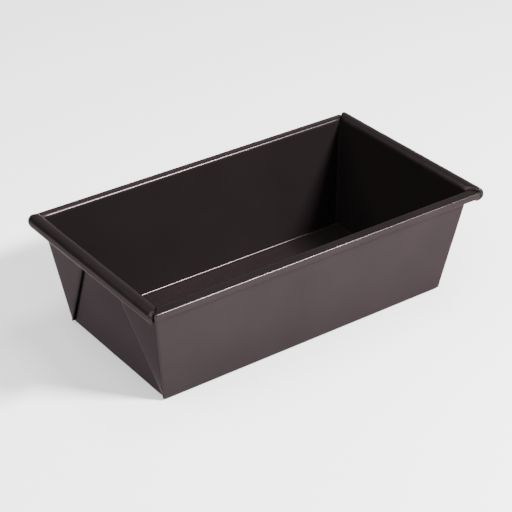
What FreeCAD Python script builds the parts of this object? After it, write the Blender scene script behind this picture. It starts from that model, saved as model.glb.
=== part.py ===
import FreeCAD, Part
import Sketcher
import os
from math import pi, radians

# A loaf pan folded from one blank of coated steel sheet, with a wire rolled into its rim.
#
# Frame: +Z up, origin on the underside of the floor at its centre, +X along the length,
# the front long wall faces -Y. The floor and the four walls are cut from one continuous shell
# at the bend lines. The corner gussets lie flat on the outside of the two end walls, and the
# rim curls and the wire inside them run on one level ring round the top.

DOC = FreeCAD.newDocument("LoafPan")

DRIVING_DIMENSIONS = {
    "sheet_gauge": 0.65,
    "wire_diameter": 4.4,
    "side_play": 0.05,
    "end_play": 0.75,
    "base_length": 209.3,
    "base_width": 105.7,
    "end_draft": 8.27,
    "side_draft": 8.9,
    "ring_height": 71.25,
    "ring_corner_radius": 5.0,
    "floor_bend_radius": 2.0,
    "gusset_foot_height": 2.0,
    "gusset_foot_width": 1.2,
    "gusset_spacing": 26.0,
    "gusset_edge_radius": 1.2,
    "rolled_layers": 3.0,
    "ridge_radius": 1.5,
    "crest_run": 2.73,
    "side_curl_sweep": 310.0,
    "end_curl_sweep": 300.0,
    "elbow_angle": 44.0,
    "region_margin": 20.0,
}

# Expressions that several sub-parts share.
GAUGE = "Dims.sheet_gauge"
WIRE_RADIUS = "(Dims.wire_diameter / 2)"
SIDE_BORE = f"({WIRE_RADIUS} + Dims.side_play)"
END_BORE = f"({WIRE_RADIUS} + Dims.end_play)"
SIDE_BEAD_RADIUS = f"({SIDE_BORE} + {GAUGE})"
END_BEAD_RADIUS = f"({END_BORE} + Dims.rolled_layers * {GAUGE})"
RING = "Dims.ring_height"
RING_CORNER = "Dims.ring_corner_radius"
LEAVES = f"(2 * {GAUGE} / cos(Dims.end_draft))"
BEND_START_X = "(Dims.base_length / 2 - Dims.floor_bend_radius * tan((90 - Dims.end_draft) / 2))"
BEND_START_Y = "(Dims.base_width / 2 - Dims.floor_bend_radius * tan((90 - Dims.side_draft) / 2))"


def end_outside(height):
    """Half-length over the outside of the end walls at a height."""
    return f"(Dims.base_length / 2 + {height} * tan(Dims.end_draft))"


def end_inside(height):
    return f"({end_outside(height)} - {GAUGE} / cos(Dims.end_draft))"


def side_outside(height):
    """Half-width over the outside of the long walls at a height."""
    return f"(Dims.base_width / 2 + {height} * tan(Dims.side_draft))"


def side_inside(height):
    return f"({side_outside(height)} - {GAUGE} / cos(Dims.side_draft))"


RING_HALF_LENGTH = f"({end_inside(RING)} + {END_BEAD_RADIUS})"
RIDGE_START = f"({RING} + {SIDE_BEAD_RADIUS} - Dims.ridge_radius)"
RING_HALF_WIDTH = f"({side_inside(RIDGE_START)} + Dims.ridge_radius + Dims.crest_run)"


def make_sheet():
    sheet = DOC.addObject("Spreadsheet::Sheet", "Dims")
    for row, (alias, value) in enumerate(DRIVING_DIMENSIONS.items(), start=1):
        sheet.set(f"A{row}", alias)
        sheet.set(f"B{row}", str(value))
        sheet.setAlias(f"B{row}", alias)
    DOC.recompute()
    return sheet


SHEET = make_sheet()


def value_of(expression):
    """The number an expression gives, as a starting place for sketch geometry."""
    result = SHEET.evalExpression(expression.replace("Dims.", ""))
    return float(getattr(result, "Value", result))


def new_body(name, turn=0.0):
    body = DOC.addObject("PartDesign::Body", name)
    body.Label = name
    body.Placement = FreeCAD.Placement(
        FreeCAD.Vector(0, 0, 0), FreeCAD.Rotation(FreeCAD.Vector(0, 0, 1), turn)
    )
    return body


def origin_plane(body, role):
    for feature in body.Origin.OriginFeatures:
        if feature.Role == role:
            return feature
    raise ValueError(role)


def new_sketch(body, name, plane, offsets):
    """A sketch on one of the body's origin planes, moved along its own axes by bound offsets."""
    sketch = body.newObject("Sketcher::SketchObject", name)
    sketch.AttachmentSupport = [(origin_plane(body, plane), "")]
    sketch.MapMode = "FlatFace"
    for axis, expression in offsets.items():
        sketch.setExpression(f"AttachmentOffset.Base.{axis}", expression)
    return sketch


def pin(sketch, kind, name, geometry, position, expression):
    """Hold one coordinate of a point of the sketch at a bound value."""
    datum = value_of(expression)
    index = sketch.addConstraint(Sketcher.Constraint(kind, -1, 1, geometry, position, datum))
    sketch.renameConstraint(index, name)
    sketch.setExpression(f".Constraints.{name}", expression)


def pin_point(sketch, name, geometry, position, x, y):
    pin(sketch, "DistanceX", f"{name}_x", geometry, position, x)
    pin(sketch, "DistanceY", f"{name}_y", geometry, position, y)


def polygon_sketch(body, name, height, corners):
    """A closed outline at a height, with every corner bound to the sheet."""
    sketch = new_sketch(body, name, "XY_Plane", {"z": height})
    points = [FreeCAD.Vector(value_of(x), value_of(y), 0) for x, y in corners]
    count = len(points)
    for index in range(count):
        sketch.addGeometry(Part.LineSegment(points[index], points[(index + 1) % count]))
    for index in range(count):
        sketch.addConstraint(Sketcher.Constraint("Coincident", index, 2, (index + 1) % count, 1))
    for index, (x, y) in enumerate(corners):
        pin_point(sketch, f"corner{index}", index, 1, x, y)
    return sketch


def rectangle(half_length, half_width):
    return [
        (f"-{half_length}", f"-{half_width}"),
        (half_length, f"-{half_width}"),
        (half_length, half_width),
        (f"-{half_length}", half_width),
    ]


def dress(body, name, radius, chosen):
    """Round the edges of the body's last feature that the test chooses."""
    base = body.Tip
    edges = [f"Edge{i}" for i, edge in enumerate(base.Shape.Edges, start=1) if chosen(edge)]
    feature = body.newObject("PartDesign::Fillet", name)
    feature.Base = (base, edges)
    feature.setExpression("Radius", radius)
    DOC.recompute()
    return feature


def level_edge_at(height):
    return lambda edge: edge.BoundBox.ZLength < 1e-6 and abs(edge.BoundBox.ZMin - height) < 1e-6


def wedge(body, kind, name, foot, head):
    """A block with a level foot and head whose four sides lean.

    foot and head are (height, low x, high x, low y, high y). The primitive rises along its
    own Y axis, so it is turned to rise along +Z, which puts its own Z axis along -Y.
    """
    feature = body.newObject(f"PartDesign::{kind}", name)
    for level, suffix in ((foot, ""), (head, "2")):
        height, low_x, high_x, low_y, high_y = level
        feature.setExpression("Ymax" if suffix else "Ymin", height)
        feature.setExpression(f"X{suffix}min", low_x)
        feature.setExpression(f"X{suffix}max", high_x)
        feature.setExpression(f"Z{suffix}min", f"-({high_y})")
        feature.setExpression(f"Z{suffix}max", f"-({low_y})")
    feature.Placement = FreeCAD.Placement(
        FreeCAD.Vector(0, 0, 0), FreeCAD.Rotation(FreeCAD.Vector(1, 0, 0), 90)
    )
    DOC.recompute()
    return feature


def centred_level(height, half_length, half_width):
    """One level of a wedge that is centred on the pan's axis."""
    x = half_length(height)
    y = half_width(height)
    return (height, f"-{x}", x, f"-{y}", y)


def make_shell():
    """The floor and walls as one thin shell, open at the level of the rim ring."""
    body = new_body("shell_before_division")
    above_ring = f"({RING} + 1)"
    outside = [centred_level(height, end_outside, side_outside) for height in ("0", RING)]
    inside = [centred_level(height, end_inside, side_inside) for height in (GAUGE, above_ring)]
    wedge(body, "AdditiveWedge", "outside", *outside)
    dress(body, "outside_bend", "Dims.floor_bend_radius", level_edge_at(0.0))
    wedge(body, "SubtractiveWedge", "inside", *inside)
    inside_radius = f"Dims.floor_bend_radius - {GAUGE}"
    floor_edges = level_edge_at(value_of(GAUGE))
    dress(body, "inside_bend", inside_radius, floor_edges)
    return body


def region_prism(name, corners, turn=0.0):
    """An upright prism that picks one section of the shell."""
    body = new_body(name, turn)
    sketch = polygon_sketch(body, f"{name}_plan", "-Dims.region_margin", corners)
    pad = body.newObject("PartDesign::Pad", f"{name}_pad")
    pad.Profile = sketch
    pad.setExpression("Length", f"{RING} + 2 * Dims.region_margin")
    return body


def shell_section(label, shell, region):
    section = DOC.addObject("Part::Common", label)
    section.Base = shell
    section.Tool = region
    section.Label = label
    return section


def make_shell_sections(shell):
    """The floor between its bend lines, and each wall with its own bend."""
    reach_x = f"({BEND_START_X} + Dims.region_margin)"
    reach_y = (
        f"({BEND_START_Y} + Dims.region_margin * tan(Dims.side_draft) / tan(Dims.end_draft))"
    )
    floor = region_prism("floor_region", rectangle(BEND_START_X, BEND_START_Y))
    sections = [shell_section("floor_panel", shell, floor)]
    side_corners = [
        (f"-{BEND_START_X}", f"-{BEND_START_Y}"),
        (f"-{reach_x}", f"-{reach_y}"),
        (reach_x, f"-{reach_y}"),
        (BEND_START_X, f"-{BEND_START_Y}"),
    ]
    end_corners = [
        (BEND_START_X, f"-{BEND_START_Y}"),
        (reach_x, f"-{reach_y}"),
        (reach_x, reach_y),
        (BEND_START_X, BEND_START_Y),
    ]
    for label, corners, turn in (
        ("front_wall", side_corners, 0.0),
        ("rear_wall", side_corners, 180.0),
        ("right_end_wall", end_corners, 0.0),
        ("left_end_wall", end_corners, 180.0),
    ):
        region = region_prism(f"{label}_region", corners, turn)
        sections.append(shell_section(label, shell, region))
    return sections


def make_gusset(label, side, turn):
    """A double leaf of sheet, folded flat on the outside of the right end wall, then turned.

    side is 1 for the corner at +Y and -1 for the corner at -Y, before the turn.
    """
    body = new_body(label, turn)

    def level(height, inner_edge):
        near = end_outside(height)
        edges = [inner_edge, side_outside(height)]
        if side < 0:
            edges = [f"-{edge}" for edge in reversed(edges)]
        return (height, near, f"({near} + {LEAVES})", *edges)

    foot = "Dims.gusset_foot_height"
    foot_inner_edge = f"({side_outside(foot)} - Dims.gusset_foot_width)"
    head_inner_edge = "(Dims.gusset_spacing / 2)"
    levels = [level(foot, foot_inner_edge), level(RING, head_inner_edge)]
    wedge(body, "AdditiveWedge", f"{label}_leaves", *levels)
    foot_height = value_of(foot)
    foot_x = value_of(f"{end_outside(foot)} + {LEAVES}")
    foot_y = side * value_of(side_outside(foot))
    foot_corner = FreeCAD.Vector(foot_x, foot_y, foot_height)

    def outer_upright_edge(edge):
        touches = any(vertex.Point.isEqual(foot_corner, 0.01) for vertex in edge.Vertexes)
        return touches and edge.BoundBox.ZLength > foot_height

    dress(body, f"{label}_corner", "Dims.gusset_edge_radius", outer_upright_edge)
    return body


def add_arc(sketch, centre, radius, first, last):
    """An arc that runs from the first to the last angle, in degrees, anticlockwise."""
    place = FreeCAD.Vector(value_of(centre[0]), value_of(centre[1]), 0)
    circle = Part.Circle(place, FreeCAD.Vector(0, 0, 1), value_of(radius))
    return sketch.addGeometry(Part.ArcOfCircle(circle, radians(first), radians(last)))


def add_line(sketch, start, end):
    points = [FreeCAD.Vector(value_of(x), value_of(y), 0) for x, y in (start, end)]
    return sketch.addGeometry(Part.LineSegment(*points))


def join(sketch, *pairs):
    """Make pairs of ends coincide. An end is (geometry, 1 for its start or 2 for its end)."""
    for one, other in pairs:
        sketch.addConstraint(Sketcher.Constraint("Coincident", *one, *other))


def lip_angle(sweep):
    return 180.0 - value_of(sweep)


def on_circle(radius, sweep):
    """The place of the curl's lip on a circle about the wire."""
    x = f"({RING_CORNER} + {radius} * cos(180 - {sweep}))"
    y = f"({RING} + {radius} * sin(180 - {sweep}))"
    return (x, y)


# Both curl sections are drawn with the vertical axis on the axis of the corner elbow, so the
# wire's centre is one corner radius from it.
WIRE_PLACE = (RING_CORNER, RING)


def draw_end_section(sketch):
    """Three layers of sheet rolled round the wire, open beside the wall."""
    sweep = "Dims.end_curl_sweep"
    wall_outside = (f"({RING_CORNER} - {END_BEAD_RADIUS})", RING)
    wall_inside = (f"({RING_CORNER} - {END_BORE})", RING)
    lip_outside = on_circle(END_BEAD_RADIUS, sweep)
    lip_inside = on_circle(END_BORE, sweep)
    outer = add_arc(sketch, WIRE_PLACE, END_BEAD_RADIUS, lip_angle(sweep), 180)
    bore = add_arc(sketch, WIRE_PLACE, END_BORE, lip_angle(sweep), 180)
    wall = add_line(sketch, wall_outside, wall_inside)
    lip = add_line(sketch, lip_outside, lip_inside)
    join(sketch, ((wall, 1), (outer, 2)), ((wall, 2), (bore, 2)))
    join(sketch, ((lip, 1), (outer, 1)), ((lip, 2), (bore, 1)), ((outer, 3), (bore, 3)))
    pin_point(sketch, "centre", outer, 3, *WIRE_PLACE)
    pin_point(sketch, "wall_outside", wall, 1, *wall_outside)
    sketch.addConstraint(Sketcher.Constraint("Horizontal", wall))
    pin(sketch, "DistanceX", "lip_outside_x", lip, 1, lip_outside[0])
    pin_point(sketch, "lip_inside", lip, 2, *lip_inside)


def draw_side_section(sketch):
    """One layer of sheet: up the wall, over a tight ridge, along a short crest, round the wire."""
    sweep = "Dims.side_curl_sweep"
    wall_x = f"({RING_CORNER} + {side_inside(RING)} - {RING_HALF_WIDTH})"
    ridge_x = f"({RING_CORNER} - Dims.crest_run - Dims.ridge_radius)"
    crest_x = f"({RING_CORNER} - Dims.crest_run)"
    ridge_centre = (crest_x, RIDGE_START)
    outside = {
        "wall": (wall_x, RING),
        "ridge": (ridge_x, RIDGE_START),
        "crest": (crest_x, f"({RING} + {SIDE_BEAD_RADIUS})"),
        "wrap": (RING_CORNER, f"({RING} + {SIDE_BEAD_RADIUS})"),
        "lip": on_circle(SIDE_BEAD_RADIUS, sweep),
    }
    inside = {
        "wall": (f"({wall_x} + {GAUGE})", RING),
        "ridge": (f"({ridge_x} + {GAUGE})", RIDGE_START),
        "crest": (crest_x, f"({RING} + {SIDE_BORE})"),
        "wrap": (RING_CORNER, f"({RING} + {SIDE_BORE})"),
        "lip": on_circle(SIDE_BORE, sweep),
    }
    wraps = []
    lines = []
    ridge_radii = ("Dims.ridge_radius", f"(Dims.ridge_radius - {GAUGE})")
    wrap_radii = (SIDE_BEAD_RADIUS, SIDE_BORE)
    for face, (name, places) in enumerate((("outside", outside), ("inside", inside))):
        rise = add_line(sketch, places["wall"], places["ridge"])
        ridge = add_arc(sketch, ridge_centre, ridge_radii[face], 90, 180)
        crest = add_line(sketch, places["crest"], places["wrap"])
        wrap = add_arc(sketch, WIRE_PLACE, wrap_radii[face], lip_angle(sweep), 90)
        join(sketch, ((rise, 2), (ridge, 2)), ((crest, 1), (ridge, 1)), ((crest, 2), (wrap, 2)))
        pin_point(sketch, f"{name}_wall", rise, 1, *places["wall"])
        pin_point(sketch, f"{name}_ridge", rise, 2, *places["ridge"])
        pin_point(sketch, f"{name}_crest", crest, 1, *places["crest"])
        pin_point(sketch, f"{name}_wrap", crest, 2, *places["wrap"])
        pin(sketch, "DistanceX", f"{name}_ridge_centre", ridge, 3, crest_x)
        pin_point(sketch, f"{name}_wire", wrap, 3, *WIRE_PLACE)
        pin(sketch, "DistanceX", f"{name}_lip", wrap, 1, places["lip"][0])
        wraps.append(wrap)
        lines.append(rise)
    foot = add_line(sketch, outside["wall"], inside["wall"])
    lip = add_line(sketch, outside["lip"], inside["lip"])
    join(sketch, ((foot, 1), (lines[0], 1)), ((foot, 2), (lines[1], 1)))
    join(sketch, ((lip, 1), (wraps[0], 1)), ((lip, 2), (wraps[1], 1)))


def make_curl(label, turn, ring_offset, half_run, draw_section):
    """One side of the rolled rim: a straight run with half an elbow at each end."""
    body = new_body(label, turn)
    axis_place = f"({ring_offset} - {RING_CORNER})"
    profiles = []
    for name, station in (("run", f"-{half_run}"), ("elbow", half_run)):
        offsets = {"x": axis_place, "z": station}
        profile = new_sketch(body, f"{label}_{name}_section", "YZ_Plane", offsets)
        draw_section(profile)
        profiles.append(profile)
    run = body.newObject("PartDesign::Pad", f"{label}_run")
    run.Profile = profiles[0]
    run.setExpression("Length", f"2 * {half_run}")
    elbow = body.newObject("PartDesign::Revolution", f"{label}_elbow")
    elbow.Profile = profiles[1]
    elbow.ReferenceAxis = (profiles[1], ["V_Axis"])
    elbow.Reversed = True
    elbow.setExpression("Angle", "Dims.elbow_angle")
    DOC.recompute()
    mirror = body.newObject("PartDesign::Mirrored", f"{label}_mirror")
    mirror.Originals = [elbow]
    mirror.MirrorPlane = (origin_plane(body, "YZ_Plane"), [""])
    body.Tip = mirror
    return body


def make_curls():
    straight_x = f"({RING_HALF_LENGTH} - {RING_CORNER})"
    straight_y = f"({RING_HALF_WIDTH} - {RING_CORNER})"
    side = (RING_HALF_WIDTH, straight_x, draw_side_section)
    end = (RING_HALF_LENGTH, straight_y, draw_end_section)
    return [
        make_curl("rear_rim_curl", 0.0, *side),
        make_curl("left_rim_curl", 90.0, *end),
        make_curl("front_rim_curl", 180.0, *side),
        make_curl("right_rim_curl", 270.0, *end),
    ]


def ring_path(body):
    """The wire's centre line: four straight runs joined by tangent quarter turns."""
    path = new_sketch(body, "rim_wire_path", "XY_Plane", {"z": RING})
    corner_x = f"({RING_HALF_LENGTH} - {RING_CORNER})"
    corner_y = f"({RING_HALF_WIDTH} - {RING_CORNER})"
    quadrants = [(1, 1), (1, -1), (-1, -1), (-1, 1)]
    along_side = []
    along_end = []
    for right, rear in quadrants:
        along_side.append((f"{right} * {corner_x}", f"{rear} * {RING_HALF_WIDTH}"))
        along_end.append((f"{right} * {RING_HALF_LENGTH}", f"{rear} * {corner_y}"))

    def point(pair):
        return FreeCAD.Vector(value_of(pair[0]), value_of(pair[1]), 0)

    up = FreeCAD.Vector(0, 0, 1)
    for index, (right, rear) in enumerate(quadrants):
        centre = (f"{right} * {corner_x}", f"{rear} * {corner_y}")
        last = pi / 2 * (1 - index)
        circle = Part.Circle(point(centre), up, value_of(RING_CORNER))
        arc = path.addGeometry(Part.ArcOfCircle(circle, last - pi / 2, last))
        starts_on_end = index % 2 == 0
        side_position = 2 if starts_on_end else 1
        end_position = 1 if starts_on_end else 2
        pin_point(path, f"turn{index}_centre", arc, 3, *centre)
        pin_point(path, f"turn{index}_side", arc, side_position, *along_side[index])
        pin(path, "DistanceY", f"turn{index}_end_y", arc, end_position, along_end[index][1])
    for index in range(4):
        following = (index + 1) % 4
        stops = along_end if index % 2 == 0 else along_side
        run = path.addGeometry(Part.LineSegment(point(stops[index]), point(stops[following])))
        path.addConstraint(Sketcher.Constraint("Coincident", index, 1, run, 1))
        path.addConstraint(Sketcher.Constraint("Coincident", following, 2, run, 2))
    return path


def make_rim_wire():
    """A closed ring of round wire that the rim is rolled over."""
    body = new_body("rim_wire")
    path = ring_path(body)
    section = new_sketch(
        body, "rim_wire_section", "XZ_Plane", {"z": f"{RING_CORNER} - {RING_HALF_WIDTH}"}
    )
    centre = FreeCAD.Vector(value_of(RING_HALF_LENGTH), value_of(RING), 0)
    section.addGeometry(Part.Circle(centre, FreeCAD.Vector(0, 0, 1), value_of(WIRE_RADIUS)))
    pin_point(section, "centre", 0, 3, RING_HALF_LENGTH, RING)
    index = section.addConstraint(Sketcher.Constraint("Radius", 0, value_of(WIRE_RADIUS)))
    section.renameConstraint(index, "wire_radius")
    section.setExpression(".Constraints.wire_radius", WIRE_RADIUS)
    DOC.recompute()
    pipe = body.newObject("PartDesign::AdditivePipe", "rim_wire_pipe")
    pipe.Profile = section
    pipe.Spine = path
    return body


def check_document():
    for item in DOC.Objects:
        if "Invalid" in item.State or "Error" in item.State:
            raise RuntimeError(f"{item.Label}: {item.State}")


def write_parts(sub_parts):
    os.makedirs("parts", exist_ok=True)
    for sub_part in sub_parts:
        shape = sub_part.Shape
        if shape.isNull() or not shape.isValid() or len(shape.Solids) != 1:
            raise RuntimeError(f"{sub_part.Label} is not one valid solid")
    for sub_part in sub_parts:
        sub_part.Shape.exportStep(f"parts/{sub_part.Label}.step")
        box = sub_part.Shape.BoundBox
        print(
            f"{sub_part.Label:22s} volume {sub_part.Shape.Volume:9.1f} mm3, "
            f"x {box.XMin:8.2f} {box.XMax:8.2f}, y {box.YMin:7.2f} {box.YMax:7.2f}, "
            f"z {box.ZMin:6.2f} {box.ZMax:6.2f}"
        )


sub_parts = make_shell_sections(make_shell())
sub_parts += [
    make_gusset("gusset_rear_right", 1, 0.0),
    make_gusset("gusset_front_right", -1, 0.0),
    make_gusset("gusset_front_left", 1, 180.0),
    make_gusset("gusset_rear_left", -1, 180.0),
]
sub_parts += make_curls()
sub_parts.append(make_rim_wire())
DOC.recompute()
check_document()
write_parts(sub_parts)
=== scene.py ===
from math import cos, hypot, pi, radians, sin, tan

import bmesh
import bpy
from mathutils import Matrix, Vector, noise


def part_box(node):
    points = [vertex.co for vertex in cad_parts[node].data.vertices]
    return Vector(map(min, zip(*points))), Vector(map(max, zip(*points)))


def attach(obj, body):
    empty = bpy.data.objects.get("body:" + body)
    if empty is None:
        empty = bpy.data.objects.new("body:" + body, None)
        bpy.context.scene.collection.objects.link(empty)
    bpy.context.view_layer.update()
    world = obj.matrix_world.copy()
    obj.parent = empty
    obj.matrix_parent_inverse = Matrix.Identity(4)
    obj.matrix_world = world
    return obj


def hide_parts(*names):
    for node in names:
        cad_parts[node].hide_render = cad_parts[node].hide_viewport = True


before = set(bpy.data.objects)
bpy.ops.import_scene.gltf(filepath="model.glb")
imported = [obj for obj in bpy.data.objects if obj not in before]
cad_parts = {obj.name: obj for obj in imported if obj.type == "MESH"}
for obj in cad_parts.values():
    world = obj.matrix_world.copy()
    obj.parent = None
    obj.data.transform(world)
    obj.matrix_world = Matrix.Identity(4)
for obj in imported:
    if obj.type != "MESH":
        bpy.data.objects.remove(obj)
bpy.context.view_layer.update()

# Work is done in millimetres and scaled when a mesh is made.
MM = 0.001


def box_mm(node):
    low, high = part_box(node)
    return [value / MM for value in low], [value / MM for value in high]


# ---------------------------------------------------------------- sizes from the frame
FLOOR_LOW, FLOOR_HIGH = box_mm("floor_panel")
GAUGE = FLOOR_HIGH[2] - FLOOR_LOW[2]
FLOOR_X = FLOOR_HIGH[0]
FLOOR_Y = FLOOR_HIGH[1]
END_TOP = box_mm("right_end_wall")[1]
SIDE_TOP = box_mm("rear_wall")[1]
RING_Z = SIDE_TOP[2]
WIRE_LOW, WIRE_HIGH = box_mm("rim_wire")
WIRE_R = (WIRE_HIGH[2] - WIRE_LOW[2]) / 2
# Half-length and half-width of the wire's centre line.
WIRE_X = WIRE_HIGH[0] - WIRE_R
WIRE_Y = WIRE_HIGH[1] - WIRE_R
# Radius of the end rolls, just inside their box, and how far out the long ones reach.
BOX_MARGIN = 0.02
END_R = box_mm("right_rim_curl")[1][0] - WIRE_X - BOX_MARGIN
SIDE_REACH = box_mm("rear_rim_curl")[1][1]

# ---------------------------------------------------------------- sizes the boxes don't hold
END_DRAFT = radians(8.27)
SIDE_DRAFT = radians(8.9)
BEND_R = 2.0
# Height at which the folded gussets start, and the thickness of their two leaves.
FOOT_Z = 2.0
LEAF = 2 * GAUGE / cos(END_DRAFT)


def end_out(z):
    """Half-length over the outside of the end walls at a height."""
    return END_TOP[0] - (RING_Z - z) * tan(END_DRAFT)


def side_out(z):
    """Half-width over the outside of the long walls at a height."""
    return SIDE_TOP[1] - (RING_Z - z) * tan(SIDE_DRAFT)


# ---------------------------------------------------------------- mesh helpers
def wave(x, y, z, size, seed):
    """Smooth repeatable noise between about -1 and 1."""
    return noise.noise(Vector((x / size + seed, y / size - seed, z / size + 2 * seed)))


SHARP_ANGLE = radians(38.0)
# Points closer together than this are one.
MERGE_DISTANCE = 0.004


def make_mesh(name, points, faces):
    mesh = bpy.data.meshes.new(name)
    mesh.from_pydata([[value * MM for value in point] for point in points], [], faces)
    mesh.validate()
    mesh.update()
    mesh.polygons.foreach_set("use_smooth", [True] * len(mesh.polygons))
    mesh.set_sharp_from_angle(angle=SHARP_ANGLE)
    piece = bpy.data.objects.new(name, mesh)
    bpy.context.scene.collection.objects.link(piece)
    return piece


def face_outward(piece):
    """Turn a closed mesh's faces outward."""
    edit = bmesh.new()
    edit.from_mesh(piece.data)
    bmesh.ops.remove_doubles(edit, verts=edit.verts, dist=MERGE_DISTANCE * MM)
    bmesh.ops.recalc_face_normals(edit, faces=edit.faces)
    if edit.calc_volume(signed=True) < 0:
        bmesh.ops.reverse_faces(edit, faces=edit.faces)
    edit.to_mesh(piece.data)
    edit.free()
    piece.data.set_sharp_from_angle(angle=SHARP_ANGLE)


def sheet_between(name, outer, inner):
    """A closed sheet whose two faces are grids of rows with the same counts."""
    rows = len(outer)
    columns = len(outer[0])
    points = [point for row in outer for point in row] + [point for row in inner for point in row]
    half = rows * columns
    faces = []
    for r in range(rows - 1):
        for c in range(columns - 1):
            a = r * columns + c
            faces.append((a, a + 1, a + 1 + columns, a + columns))
            faces.append((half + a, half + a + columns, half + a + 1 + columns, half + a + 1))
    rim = [(0, c) for c in range(columns)]
    rim += [(r, columns - 1) for r in range(1, rows)]
    rim += [(rows - 1, c) for c in range(columns - 2, -1, -1)]
    rim += [(r, 0) for r in range(rows - 2, 0, -1)]
    for k, (r, c) in enumerate(rim):
        r2, c2 = rim[(k + 1) % len(rim)]
        a = r * columns + c
        b = r2 * columns + c2
        faces.append((a, half + a, half + b, b))
    piece = make_mesh(name, points, faces)
    face_outward(piece)
    return piece


def tube(name, loops):
    """A closed body through loops of points that each go once round it."""
    count = len(loops[0])
    points = [point for loop in loops for point in loop]
    faces = []
    for r in range(len(loops) - 1):
        for c in range(count):
            d = (c + 1) % count
            a = r * count
            faces.append((a + c, a + d, a + count + d, a + count + c))
    faces.append(tuple(range(count)))
    last = (len(loops) - 1) * count
    faces.append(tuple(last + c for c in reversed(range(count))))
    piece = make_mesh(name, points, faces)
    face_outward(piece)
    return piece


def spread(low, high, count, ease=0.0):
    """Evenly spaced values, with one more close to each end when ease is given."""
    values = [low + (high - low) * k / count for k in range(count + 1)]
    if ease:
        values[1:1] = [low + ease]
        values[-1:-1] = [high - ease]
    return values


SUPPORT = 0.12


def rounded_path(corners, radii, steps):
    """A polyline through corners, each rounded by its radius.

    A support point just outside each arc keeps the flats' shading flat.
    """
    points = [Vector(corners[0])]
    for k in range(1, len(corners) - 1):
        before = Vector(corners[k - 1])
        here = Vector(corners[k])
        after = Vector(corners[k + 1])
        into = (here - before).normalized()
        out = (after - here).normalized()
        turn = into.angle_signed(out)
        radius = radii[k - 1]
        trim = radius * tan(abs(turn) / 2)
        start = here - into * trim
        points.append(start - into * SUPPORT)
        side = 1 if turn > 0 else -1
        normal = Vector((into.y, -into.x)) * side
        centre = start + normal * radius
        for s in range(steps + 1):
            angle = -side * abs(turn) * s / steps
            arm = start - centre
            turned = Vector((
                arm.x * cos(angle) - arm.y * sin(angle), arm.x * sin(angle) + arm.y * cos(angle)
            ))
            points.append(centre + turned)
        points.append(points[-1] + out * SUPPORT)
    points.append(Vector(corners[-1]))
    return points


# ---------------------------------------------------------------- walls and floor
BEND_STEPS = 7
WALL_STEPS = 16
CORNER_STEPS = 5
INNER_CORNER = 1.5
OUTER_CORNER = 1.9
MIN_RADIUS = 0.02
# Within JOIN_RUN of a corner the long walls step in by DENT, to lie under the gusset's leaf.
JOIN_RUN = 2.4
DENT = 0.16
DENT_RISE = 1.5
STEP_RUN = 0.04
# An extra row at the floor's edge and extra columns near the corners keep the shading flat.
BEND_LEAD = 0.08
LEAD_LIFT = 0.0003
RUN_EASE = 0.25
END_COLUMNS = 26
SIDE_COLUMNS = 46


def wall_levels():
    """Rows of the wall's profile as (stretch, share of it), from the floor upwards."""
    rows = [("bend", 0.0), ("lead", 0.0)]
    rows += [("bend", k / BEND_STEPS) for k in range(1, BEND_STEPS + 1)]
    rows += [("wall", 0.004)]
    rows += [("wall", k / WALL_STEPS) for k in range(1, WALL_STEPS)]
    rows += [("wall", 0.985), ("wall", 1.0)]
    return rows


def profile_point(level, draft, start, outside):
    """Distance from the middle plane, and height, of one row of a wall's profile."""
    kind, share = level
    radius = BEND_R if outside else BEND_R - GAUGE
    sweep = pi / 2 - draft
    base = 0.0 if outside else GAUGE
    if kind == "lead":
        return start + BEND_LEAD, base + LEAD_LIFT
    if kind == "bend":
        first = BEND_LEAD if share > 0 else 0.0
        angle = sweep * share
        return start + first * (1 - share) + radius * sin(angle), base + radius * (1 - cos(angle))
    low_z = base + radius * (1 - cos(sweep))
    low = start + radius * sin(sweep)
    z = low_z + (RING_Z - low_z) * share
    return low + (z - low_z) * tan(draft), z


def corner_radius(z, outside):
    grown = min(1.0, max(0.0, z - (0.0 if outside else GAUGE)) / BEND_R)
    return (OUTER_CORNER if outside else INNER_CORNER) * grown + MIN_RADIUS


def wall_rows(along_end, outside):
    """One wall's face as rows, for the wall on the +x or +y side, from corner to corner."""
    arc = [radians(k * 45.0 / CORNER_STEPS) for k in range(CORNER_STEPS + 1)]
    rows = []
    for level in wall_levels():
        x, zx = profile_point(level, END_DRAFT, FLOOR_X, outside)
        y, zy = profile_point(level, SIDE_DRAFT, FLOOR_Y, outside)
        z_mid = (zx + zy) / 2
        radius = corner_radius(z_mid, outside)
        centre_x = x - radius
        centre_y = y - radius
        row = []
        if along_end:
            for angle in reversed(arc):
                row.append((centre_x + radius * cos(angle), -centre_y - radius * sin(angle), z_mid))
            for run in spread(-centre_y, centre_y, END_COLUMNS, ease=RUN_EASE):
                row.append((x, run, zx))
            for angle in arc:
                row.append((centre_x + radius * cos(angle), centre_y + radius * sin(angle), z_mid))
            rows.append(row)
            continue
        dent = 0.0
        if outside and z_mid > FOOT_Z:
            dent = DENT * min(1.0, (z_mid - FOOT_Z) / DENT_RISE)
        reach = x - JOIN_RUN
        for angle in reversed(arc):
            out = centre_y + radius * cos(angle) - dent
            row.append((-centre_x - radius * sin(angle), out, z_mid))
        row.append((-(reach + STEP_RUN), y - dent, zy))
        for run in spread(-reach, reach, SIDE_COLUMNS, ease=RUN_EASE):
            row.append((run, y, zy))
        row.append((reach + STEP_RUN, y - dent, zy))
        for angle in arc:
            out = centre_y + radius * cos(angle) - dent
            row.append((centre_x + radius * sin(angle), out, z_mid))
        rows.append(row)
    return rows


RIPPLE = 0.22
RIPPLE_SIZE = 30.0
# It stays this far inside the wire's corners, starts at this height and spans this much.
RIPPLE_MARGIN = 8
RIPPLE_FOOT = 3
RIPPLE_HEIGHT = 64


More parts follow.
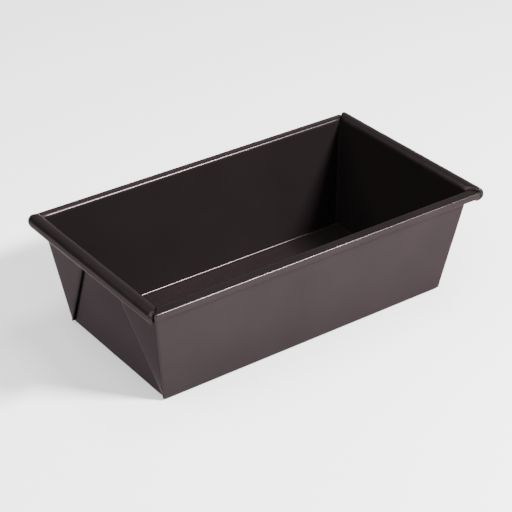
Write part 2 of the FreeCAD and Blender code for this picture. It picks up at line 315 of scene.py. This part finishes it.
def hollow(point, along_end, seed):
    """A pressed sheet is never quite flat: a shallow ripple that dies out at the folds."""
    x, y, z = point
    run = y if along_end else x
    limit = (WIRE_Y if along_end else WIRE_X) - RIPPLE_MARGIN
    rise = min(1.0, max(0.0, (z - RIPPLE_FOOT) / RIPPLE_HEIGHT))
    fade = max(0.0, 1 - (abs(run) / limit) ** 4) * max(0.0, sin(pi * rise))
    push = RIPPLE * fade * wave(run * 0.6, z, 0.0, RIPPLE_SIZE, seed)
    if along_end:
        return (x + push, y, z)
    return (x, y + push, z)


def turned(rows, half_turn):
    """The rows as they are, or turned half-way round for the opposite wall."""
    if not half_turn:
        return rows
    return [[(-x, -y, z) for x, y, z in row] for row in rows]


def build_wall(name, along_end, half_turn, seed):
    faces = []
    for outside in (True, False):
        rows = wall_rows(along_end, outside)
        rows = [[hollow(point, along_end, seed) for point in row] for row in rows]
        faces.append(turned(rows, half_turn))
    return sheet_between(name, *faces)


FLOOR_LIFT = 0.14
FLOOR_EASE = 0.2
SWELL_SIZE = 34.0
SWELL_SEED = 3.0


def build_floor():
    """The floor rises very slightly toward its middle, unevenly, as pressed sheet does."""
    top = []
    bottom = []
    for x in spread(-FLOOR_X, FLOOR_X, 52, ease=FLOOR_EASE):
        upper = []
        lower = []
        for y in spread(-FLOOR_Y, FLOOR_Y, 26, ease=FLOOR_EASE):
            fade = (1 - (x / FLOOR_X) ** 4) * (1 - (y / FLOOR_Y) ** 4)
            lift = FLOOR_LIFT * fade * (1 + wave(x, y, 0.0, SWELL_SIZE, SWELL_SEED))
            upper.append((x, y, GAUGE + lift))
            lower.append((x, y, lift))
        top.append(upper)
        bottom.append(lower)
    return sheet_between("floor_sheet", bottom, top)


# ---------------------------------------------------------------- gussets
NOSE_STEPS = 8
FACE_STEPS = 14
BACK_STEPS = 10
# The folds at the front are pressed flatter than those at the rear.
PRESSED_STEP = 0.3
# Distance of the fold from the middle plane, at the gusset's foot and at the ring.
SEAM_FOOT = 51.3
SEAM_HEAD = 12.0
# The folded edge stands a little off the end wall, further toward the foot.
HEAD_GAP = 0.10
GAP_GROWTH = 0.36
MAX_CORNER_GAP = 0.12
BACK_CLEARANCE = 0.04
# The outline starts on the long wall, this far in from the end wall.
ROOT_DEPTH = JOIN_RUN + 0.01
ROOT_THICKNESS = 0.11
GUSSET_RADIUS = 1.5
GUSSET_LEVELS = 30
# Heights from FOOT_Z at the rounded foot, with how much the outline shrinks there.
GUSSET_FOOT = [(-0.9, 0.25), (-0.75, 0.08), (-0.3, 0.0)]
GUSSET_HEAD_Z = RING_Z - 2.0


def seam_at(z):
    """How far the fold of a gusset is from the plane along the pan's middle at a height."""
    return SEAM_FOOT + (SEAM_HEAD - SEAM_FOOT) * (z - FOOT_Z) / (RING_Z - FOOT_Z)


def gap_at(z):
    """How far the folded edge of a gusset stands off the end wall."""
    return HEAD_GAP + GAP_GROWTH * (RING_Z - z) / RING_Z


def gusset_loop(z, step, shrink=0.0):
    """One level of a folded gusset at the +x, +y corner: (x, y, z) round its outline.

    step is how far the fold stands up from the gap behind it.
    """
    wall = end_out(z)
    side = side_out(z)
    seam = seam_at(z)
    gap = gap_at(z)
    corner_gap = min(gap, MAX_CORNER_GAP)
    radius = min(GUSSET_RADIUS, 0.62 * (side - seam))
    nose = step / 2
    outer_far = wall + step + gap
    outer_near = wall + LEAF + corner_gap
    run = [(wall - ROOT_DEPTH, side), (outer_near - radius - SUPPORT, side)]
    for k in range(NOSE_STEPS + 1):
        angle = pi / 2 * (1 - k / NOSE_STEPS)
        run.append((outer_near - radius + radius * cos(angle), side - radius + radius * sin(angle)))
    first = side - radius
    last = seam + nose
    for k in range(1, FACE_STEPS + 1):
        share = k / FACE_STEPS
        run.append((outer_near + (outer_far - outer_near) * share, first + (last - first) * share))
    for k in range(1, NOSE_STEPS + 1):
        angle = pi * k / NOSE_STEPS
        run.append((outer_far - nose + nose * cos(angle), last - nose * sin(angle)))
    inner_y = side - max(0.9, 0.5 * radius)
    for k in range(1, BACK_STEPS + 1):
        share = k / BACK_STEPS
        lift = BACK_CLEARANCE + gap * (1 - share) + (corner_gap - BACK_CLEARANCE) * 0.5 * share
        run.append((wall + lift, last + (inner_y - last) * share))
    run.append((wall - ROOT_DEPTH, side - ROOT_THICKNESS))
    centre_x = sum(x for x, y in run) / len(run)
    centre_y = sum(y for x, y in run) / len(run)
    return [(x + (centre_x - x) * shrink, y + (centre_y - y) * shrink, z) for x, y in run]


def build_gusset(name, side_x, side_y):
    """A gusset rises from a rounded foot to just below the ring."""
    step = LEAF if side_y > 0 else PRESSED_STEP
    levels = [(FOOT_Z + drop, shrink) for drop, shrink in GUSSET_FOOT]
    levels += [(z, 0.0) for z in spread(FOOT_Z, GUSSET_HEAD_Z, GUSSET_LEVELS)]
    loops = []
    for z, shrink in levels:
        loop = gusset_loop(z, step, shrink)
        loops.append([(side_x * x, side_y * y, pz) for x, y, pz in loop])
    return tube(name, loops)


# ---------------------------------------------------------------- rims
# Each corner of the ring, by the signs of its x and y, is bent and pinched a little differently.
RING_CORNERS = {(-1, 1): 2.6, (1, -1): -0.2, (-1, -1): 0.4, (1, 1): 1.6}
ELBOW_PINCH = {(-1, 1): 0.15, (1, -1): 0.15, (-1, -1): 0.08, (1, 1): 0.15}
SOFT_CORNER = 0.7
# How far round the corners the rolls go. The left end's stops short at the front, unpinched.
END_ELBOW_TURN = radians(44.2)
SIDE_ELBOW_TURN = radians(49.0)
OPEN_ELBOW_TURN = radians(37.0)
OPEN_ELBOW = (-1, -1)
ELBOW_STEPS = 12
# Round a corner a section narrows by ELBOW_TAPER, and from PINCH_START on by its pinch too.
ELBOW_TAPER = 0.05
PINCH_START = 0.3
# Unevenness of the rolls: a fine and a coarse wave, for the ends and for the sides.
FINE_LUMP_SIZE = 9.0
COARSE_LUMP_SIZE = 30.0
END_LUMPS = (0.16, 0.10)
SIDE_LUMPS = (0.05, 0.04)
END_STATIONS = 36
SIDE_STATIONS = 64
# The long rims are drawn as a skin thinner than the sheet, the end rolls as several layers.
SIDE_SHEET = GAUGE * 0.46
SIDE_RADII = [4.0, 1.6, 1.0, 0.8]
SIDE_ARC_STEPS = 9
END_LAYERS = GAUGE * 2.6
END_SWEEP = 318.0
END_STEPS = 40


def thicken(path, thickness):
    """Closed outline of a sheet whose outside follows the path."""
    inside = []
    for k, point in enumerate(path):
        a = path[max(k - 1, 0)]
        b = path[min(k + 1, len(path) - 1)]
        direction = (b - a).normalized()
        inside.append(point + Vector((direction.y, -direction.x)) * thickness)
    return path + inside[::-1]


def side_section():
    """The long rims are tight: a crest at the inner edge, a top that slopes outward, a flat side."""
    def inner_face(z):
        return side_out(z) - GAUGE / cos(SIDE_DRAFT)
    shoulder = inner_face(RING_Z + 1.1)
    corners = [
        (inner_face(RING_Z), RING_Z),
        (shoulder, RING_Z + 1.1),
        (shoulder + 0.8, RING_Z + 3.0),
        (SIDE_REACH - 0.06, RING_Z + 2.15),
        (SIDE_REACH - 0.75, RING_Z - 2.6),
        (side_out(RING_Z - 2.9) + 0.25, RING_Z - 2.95),
    ]
    path = rounded_path(corners, SIDE_RADII, SIDE_ARC_STEPS)
    offsets = [Vector((point.x - WIRE_Y, point.y)) for point in path]
    return thicken(offsets, SIDE_SHEET)


def end_section():
    """The end rims are a fat round roll, drawn as one thick shell."""
    wall = END_TOP[0] - GAUGE / cos(END_DRAFT) - WIRE_X
    path = [Vector((wall, RING_Z))]
    for k in range(1, END_STEPS + 1):
        angle = radians(180.0 - END_SWEEP * k / END_STEPS)
        path.append(Vector((END_R * cos(angle), RING_Z + END_R * sin(angle))))
    return thicken(path, END_LAYERS)


def elbow_width(place, along_end, share):
    """Scale of the section part-way round a corner, 1 at its start."""
    if along_end and place == OPEN_ELBOW:
        return 1.0
    close = max(0.0, (share - PINCH_START) / (1 - PINCH_START))
    return 1.0 - ELBOW_TAPER * share - ELBOW_PINCH[place] * close ** 2


def elbow_turn(place, along_end):
    if not along_end:
        return SIDE_ELBOW_TURN
    return OPEN_ELBOW_TURN if place == OPEN_ELBOW else END_ELBOW_TURN


def rim_stations(along_end):
    """Stations along a rim as (stretch, which end, share of it), with the elbows at both ends."""
    elbow = [k / ELBOW_STEPS for k in range(1, ELBOW_STEPS + 1)]
    stations = [("corner", -1, share) for share in reversed(elbow)]
    for share in spread(0.0, 1.0, END_STATIONS if along_end else SIDE_STATIONS):
        stations.append(("run", 0, share * 2 - 1))
    stations += [("corner", 1, share) for share in elbow]
    return stations


def build_rim(name, section, run_half, other, along_end, half_turn, seed):
    """Sweep a section along one side of the ring and about half-way round both corners."""
    fine, coarse = END_LUMPS if along_end else SIDE_LUMPS
    loops = []
    for kind, end, share in rim_stations(along_end):
        turn = end if kind == "corner" else (1 if share > 0 else -1)
        place = (1, turn) if along_end else (turn, 1)
        if half_turn:
            place = (-place[0], -place[1])
        width = elbow_width(place, along_end, share) if kind == "corner" else 1.0
        loop = []
        for offset, height in section:
            o = offset * width
            z = RING_Z + (height - RING_Z) * width
            radius = max(RING_CORNERS[place] + o, SOFT_CORNER)
            limit = run_half + o - radius
            if kind == "run":
                run = share * limit
                out = other + o
            else:
                angle = elbow_turn(place, along_end) * share
                run = end * (limit + radius * sin(angle))
                out = other + o - radius + radius * cos(angle)
            lump = 0.0
            if abs(run) < run_half:
                lump = fine * wave(run, out + z * 2.0, 0.0, FINE_LUMP_SIZE, seed)
                lump += coarse * wave(run, out, z, COARSE_LUMP_SIZE, seed + 5.0)
            length = max(hypot(o, z - RING_Z), 1e-6)
            out -= abs(lump) * o / length
            z -= abs(lump) * (z - RING_Z) / length
            point = (out, run, z) if along_end else (run, out, z)
            if half_turn:
                point = (-point[0], -point[1], point[2])
            loop.append(point)
        loops.append(loop)
    return tube(name, loops)


# ---------------------------------------------------------------- materials
def add(nodes, kind, **values):
    """A new shader node with some of its properties set."""
    node = nodes.new(kind)
    for key, value in values.items():
        setattr(node, key, value)
    return node


COATING_TONES = ((0.0225, 0.0175, 0.0182, 1), (0.0267, 0.0206, 0.0214, 1))
WIRE_TONES = ((0.42, 0.41, 0.39, 1), (0.62, 0.61, 0.59, 1))


def coating():
    """Dark bronze non-stick coating: satin, with a faint orange peel and mottling."""
    material = bpy.data.materials.new("coated_sheet")
    material.use_nodes = True
    nodes = material.node_tree.nodes
    links = material.node_tree.links
    shader = nodes["Principled BSDF"]
    place = add(nodes, "ShaderNodeTexCoord")
    mottle = add(nodes, "ShaderNodeTexNoise")
    mottle.inputs["Scale"].default_value = 22.0
    mottle.inputs["Detail"].default_value = 4.0
    colour = add(nodes, "ShaderNodeValToRGB")
    colour.color_ramp.elements[0].position = 0.3
    colour.color_ramp.elements[0].color = COATING_TONES[0]
    colour.color_ramp.elements[1].position = 0.72
    colour.color_ramp.elements[1].color = COATING_TONES[1]
    links.new(place.outputs["Object"], mottle.inputs["Vector"])
    links.new(mottle.outputs["Fac"], colour.inputs["Fac"])
    links.new(colour.outputs["Color"], shader.inputs["Base Color"])
    grain = add(nodes, "ShaderNodeTexNoise")
    grain.inputs["Scale"].default_value = 900.0
    grain.inputs["Detail"].default_value = 3.0
    links.new(place.outputs["Object"], grain.inputs["Vector"])
    rough = add(nodes, "ShaderNodeMapRange")
    rough.inputs["To Min"].default_value = 0.20
    rough.inputs["To Max"].default_value = 0.28
    links.new(grain.outputs["Fac"], rough.inputs["Value"])
    links.new(rough.outputs["Result"], shader.inputs["Roughness"])
    bump = add(nodes, "ShaderNodeBump")
    bump.inputs["Strength"].default_value = 0.12
    bump.inputs["Distance"].default_value = 0.00006
    links.new(grain.outputs["Fac"], bump.inputs["Height"])
    links.new(bump.outputs["Normal"], shader.inputs["Normal"])
    shader.inputs["IOR"].default_value = 1.15
    shader.inputs["Specular Tint"].default_value = (0.49, 0.46, 0.47, 1)
    shader.inputs["Metallic"].default_value = 0.76
    return material


def bare_wire():
    """Drawn steel wire."""
    material = bpy.data.materials.new("rim_wire")
    material.use_nodes = True
    nodes = material.node_tree.nodes
    links = material.node_tree.links
    shader = nodes["Principled BSDF"]
    place = add(nodes, "ShaderNodeTexCoord")
    streaks = add(nodes, "ShaderNodeTexNoise")
    streaks.inputs["Scale"].default_value = 700.0
    links.new(place.outputs["Object"], streaks.inputs["Vector"])
    colour = add(nodes, "ShaderNodeValToRGB")
    colour.color_ramp.elements[0].color = WIRE_TONES[0]
    colour.color_ramp.elements[1].color = WIRE_TONES[1]
    links.new(streaks.outputs["Fac"], colour.inputs["Fac"])
    links.new(colour.outputs["Color"], shader.inputs["Base Color"])
    shader.inputs["Metallic"].default_value = 1.0
    shader.inputs["Roughness"].default_value = 0.35
    return material


def pale_floor():
    """Matt pale paper that also glows a little, so the pan's shadow stays soft."""
    material = bpy.data.materials.new("pale_floor")
    material.use_nodes = True
    shader = material.node_tree.nodes["Principled BSDF"]
    shader.inputs["Base Color"].default_value = (0.78, 0.78, 0.78, 1)
    shader.inputs["Roughness"].default_value = 0.9
    shader.inputs["Specular IOR Level"].default_value = 0.1
    shader.inputs["Emission Color"].default_value = (1.0, 1.0, 1.0, 1)
    shader.inputs["Emission Strength"].default_value = 0.22
    return material


# ---------------------------------------------------------------- pieces
COATING = coating()


def dress_piece(piece, replaced):
    """Coat a section of the blank and let it stand in for its CAD node."""
    piece.data.materials.clear()
    piece.data.materials.append(COATING)
    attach(piece, "root")
    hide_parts(replaced)


dress_piece(build_floor(), "floor_panel")
dress_piece(build_wall("rear_wall_sheet", False, False, 11.0), "rear_wall")
dress_piece(build_wall("front_wall_sheet", False, True, 17.0), "front_wall")
dress_piece(build_wall("right_end_sheet", True, False, 23.0), "right_end_wall")
dress_piece(build_wall("left_end_sheet", True, True, 29.0), "left_end_wall")
for label, side_x, side_y in (
    ("gusset_rear_right", 1, 1),
    ("gusset_front_right", 1, -1),
    ("gusset_front_left", -1, -1),
    ("gusset_rear_left", -1, 1),
):
    dress_piece(build_gusset(f"{label}_fold", side_x, side_y), label)
SIDE_SECTION = side_section()
END_SECTION = end_section()
# A seed gives each rim its own waves.
for label, section, half, other, along_end, half_turn, seed in (
    ("rear_rim_curl", SIDE_SECTION, WIRE_X, WIRE_Y, False, False, 41.0),
    ("front_rim_curl", SIDE_SECTION, WIRE_X, WIRE_Y, False, True, 47.0),
    ("right_rim_curl", END_SECTION, WIRE_Y, WIRE_X, True, False, 53.0),
    ("left_rim_curl", END_SECTION, WIRE_Y, WIRE_X, True, True, 59.0),
):
    rim = build_rim(f"{label}_roll", section, half, other, along_end, half_turn, seed)
    dress_piece(rim, label)
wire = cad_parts["rim_wire"]
wire.data.materials.clear()
wire.data.materials.append(bare_wire())


# ---------------------------------------------------------------- stage, light and camera
STAGE_HALF = 4.0
STAGE_DROP = 0.0002
LIGHT_DISTANCE = 1.6
LIGHT_TARGET = Vector((0, 0, 0.03))
CAMERA_AZIMUTH = -35.608
CAMERA_ELEVATION = 30.569
CAMERA_ROLL = radians(-0.3475)
CAMERA_PLACE = Vector((-0.52052, -0.72459, 0.56305))
SENSOR_WIDTH = 36.0
LENS = 116.13


def build_stage():
    corners = [(-1, -1), (1, -1), (1, 1), (-1, 1)]
    points = [(x * STAGE_HALF, y * STAGE_HALF, 0) for x, y in corners]
    mesh = bpy.data.meshes.new("studio_floor")
    mesh.from_pydata(points, [], [(0, 1, 2, 3)])
    floor = bpy.data.objects.new("studio_floor", mesh)
    floor.location.z = -STAGE_DROP
    bpy.context.scene.collection.objects.link(floor)
    mesh.materials.append(pale_floor())


def view_direction(azimuth, elevation):
    """From the pan toward a viewer or lamp. Azimuth is measured from -Y towards +X, in degrees."""
    az = radians(azimuth)
    el = radians(elevation)
    return Vector((sin(az) * cos(el), -cos(az) * cos(el), sin(el)))


def area_light(name, azimuth, elevation, size_x, size_y, radiance):
    """A rectangular softbox that faces the pan."""
    light = bpy.data.lights.new(name, "AREA")
    light.shape = "RECTANGLE"
    light.size = size_x
    light.size_y = size_y
    light.energy = radiance * pi * size_x * size_y
    lamp = bpy.data.objects.new(name, light)
    bpy.context.scene.collection.objects.link(lamp)
    direction = view_direction(azimuth, elevation)
    lamp.location = LIGHT_TARGET + direction * LIGHT_DISTANCE
    lamp.rotation_euler = direction.to_track_quat("Z", "Y").to_euler()


def build_camera():
    """A camera with a slight roll, at the place and lens worked out from the photo."""
    back = view_direction(CAMERA_AZIMUTH, CAMERA_ELEVATION)
    right = (-back).cross(Vector((0, 0, 1))).normalized()
    up = right.cross(-back)
    x_axis = right * cos(CAMERA_ROLL) + up * sin(CAMERA_ROLL)
    y_axis = -right * sin(CAMERA_ROLL) + up * cos(CAMERA_ROLL)
    camera = bpy.data.cameras.new("camera")
    camera.sensor_width = SENSOR_WIDTH
    camera.lens = LENS
    camera.clip_start = 0.01
    holder = bpy.data.objects.new("camera", camera)
    matrix = Matrix.Identity(4)
    for column, axis in enumerate((x_axis, y_axis, back)):
        for row in range(3):
            matrix[row][column] = axis[row]
    matrix.translation = CAMERA_PLACE
    holder.matrix_world = matrix
    bpy.context.scene.collection.objects.link(holder)
    bpy.context.scene.camera = holder


# Each sky is (upward part of the direction, strength). Strengths multiply the background's
# default dark grey. The two at the back are what the rolls mirror.
FRONT_SKY = [(0.0, 1.2), (0.2, 1.1), (0.5, 0.9), (0.62, 0.7), (0.72, 0.5), (1.0, 0.5)]
BACK_LEFT_SKY = [
    (0.0, 1.9), (0.3, 1.2), (0.48, 4.0), (0.58, 11.0), (0.65, 15.0), (0.72, 7.0), (0.82, 2.0),
]
BACK_RIGHT_SKY = [
    (0.0, 38.0), (0.12, 34.0), (0.25, 22.0), (0.4, 21.0), (0.6, 22.0), (0.7, 14.0), (0.8, 3.0),
]
# Where each back sky lies: a level axis, and the dot products between which it fades in.
BACK_LEFT_AXIS = (-0.8, 0.6, 0.0)
BACK_LEFT_FADE = (-0.1, 0.35)
BACK_RIGHT_AXIS = (0.45, 0.89, 0.0)
BACK_RIGHT_FADE = (0.62, 0.85)


def sky_ramp(nodes, links, height, stops):
    """Brightness of one side of the studio against the height of the direction."""
    sky = add(nodes, "ShaderNodeValToRGB")
    ramp = sky.color_ramp
    ramp.elements[1].position = stops[-1][0]
    for position, _ in stops[1:-1]:
        ramp.elements.new(position)
    for element, (position, value) in zip(ramp.elements, stops):
        element.position = position
        element.color = (value, value, value, 1)
    links.new(height, sky.inputs["Fac"])
    return sky.outputs["Color"]


def share_toward(nodes, links, direction, axis, fade):
    """Rises from 0 to 1 as the direction turns toward a level axis."""
    toward = add(nodes, "ShaderNodeVectorMath", operation="DOT_PRODUCT")
    toward.inputs[1].default_value = axis
    links.new(direction, toward.inputs[0])
    share = add(nodes, "ShaderNodeMapRange", interpolation_type="SMOOTHSTEP")
    share.inputs["From Min"].default_value = fade[0]
    share.inputs["From Max"].default_value = fade[1]
    links.new(toward.outputs["Value"], share.inputs["Value"])
    return share.outputs["Result"]


def blend(nodes, links, share, one, other):
    """One value where the share is 0, the other where it is 1."""
    mix = add(nodes, "ShaderNodeMix", data_type="FLOAT")
    links.new(share, mix.inputs["Factor"])
    links.new(one, mix.inputs["A"])
    links.new(other, mix.inputs["B"])
    return mix.outputs["Result"]


def build_world():
    """A studio that is dim in front and bright behind, most of all low on the right."""
    world = bpy.data.worlds.new("studio")
    bpy.context.scene.world = world
    world.use_nodes = True
    nodes = world.node_tree.nodes
    links = world.node_tree.links
    place = add(nodes, "ShaderNodeTexCoord")
    direction = place.outputs["Generated"]
    split = add(nodes, "ShaderNodeSeparateXYZ")
    links.new(direction, split.inputs["Vector"])
    height = split.outputs["Z"]
    front = sky_ramp(nodes, links, height, FRONT_SKY)
    back_left = sky_ramp(nodes, links, height, BACK_LEFT_SKY)
    back_right = sky_ramp(nodes, links, height, BACK_RIGHT_SKY)
    left_share = share_toward(nodes, links, direction, BACK_LEFT_AXIS, BACK_LEFT_FADE)
    right_share = share_toward(nodes, links, direction, BACK_RIGHT_AXIS, BACK_RIGHT_FADE)
    sky = blend(nodes, links, left_share, front, back_left)
    sky = blend(nodes, links, right_share, sky, back_right)
    links.new(sky, nodes["Background"].inputs["Strength"])


build_stage()
build_camera()
build_world()
area_light("key", 33.0, 38.0, 0.40, 0.14, 790.0)
area_light("top_fill", 90.0, 76.0, 0.5, 0.5, 19.0)
area_light("left_fill", -90.0, 48.0, 2.4, 2.4, 3.6)
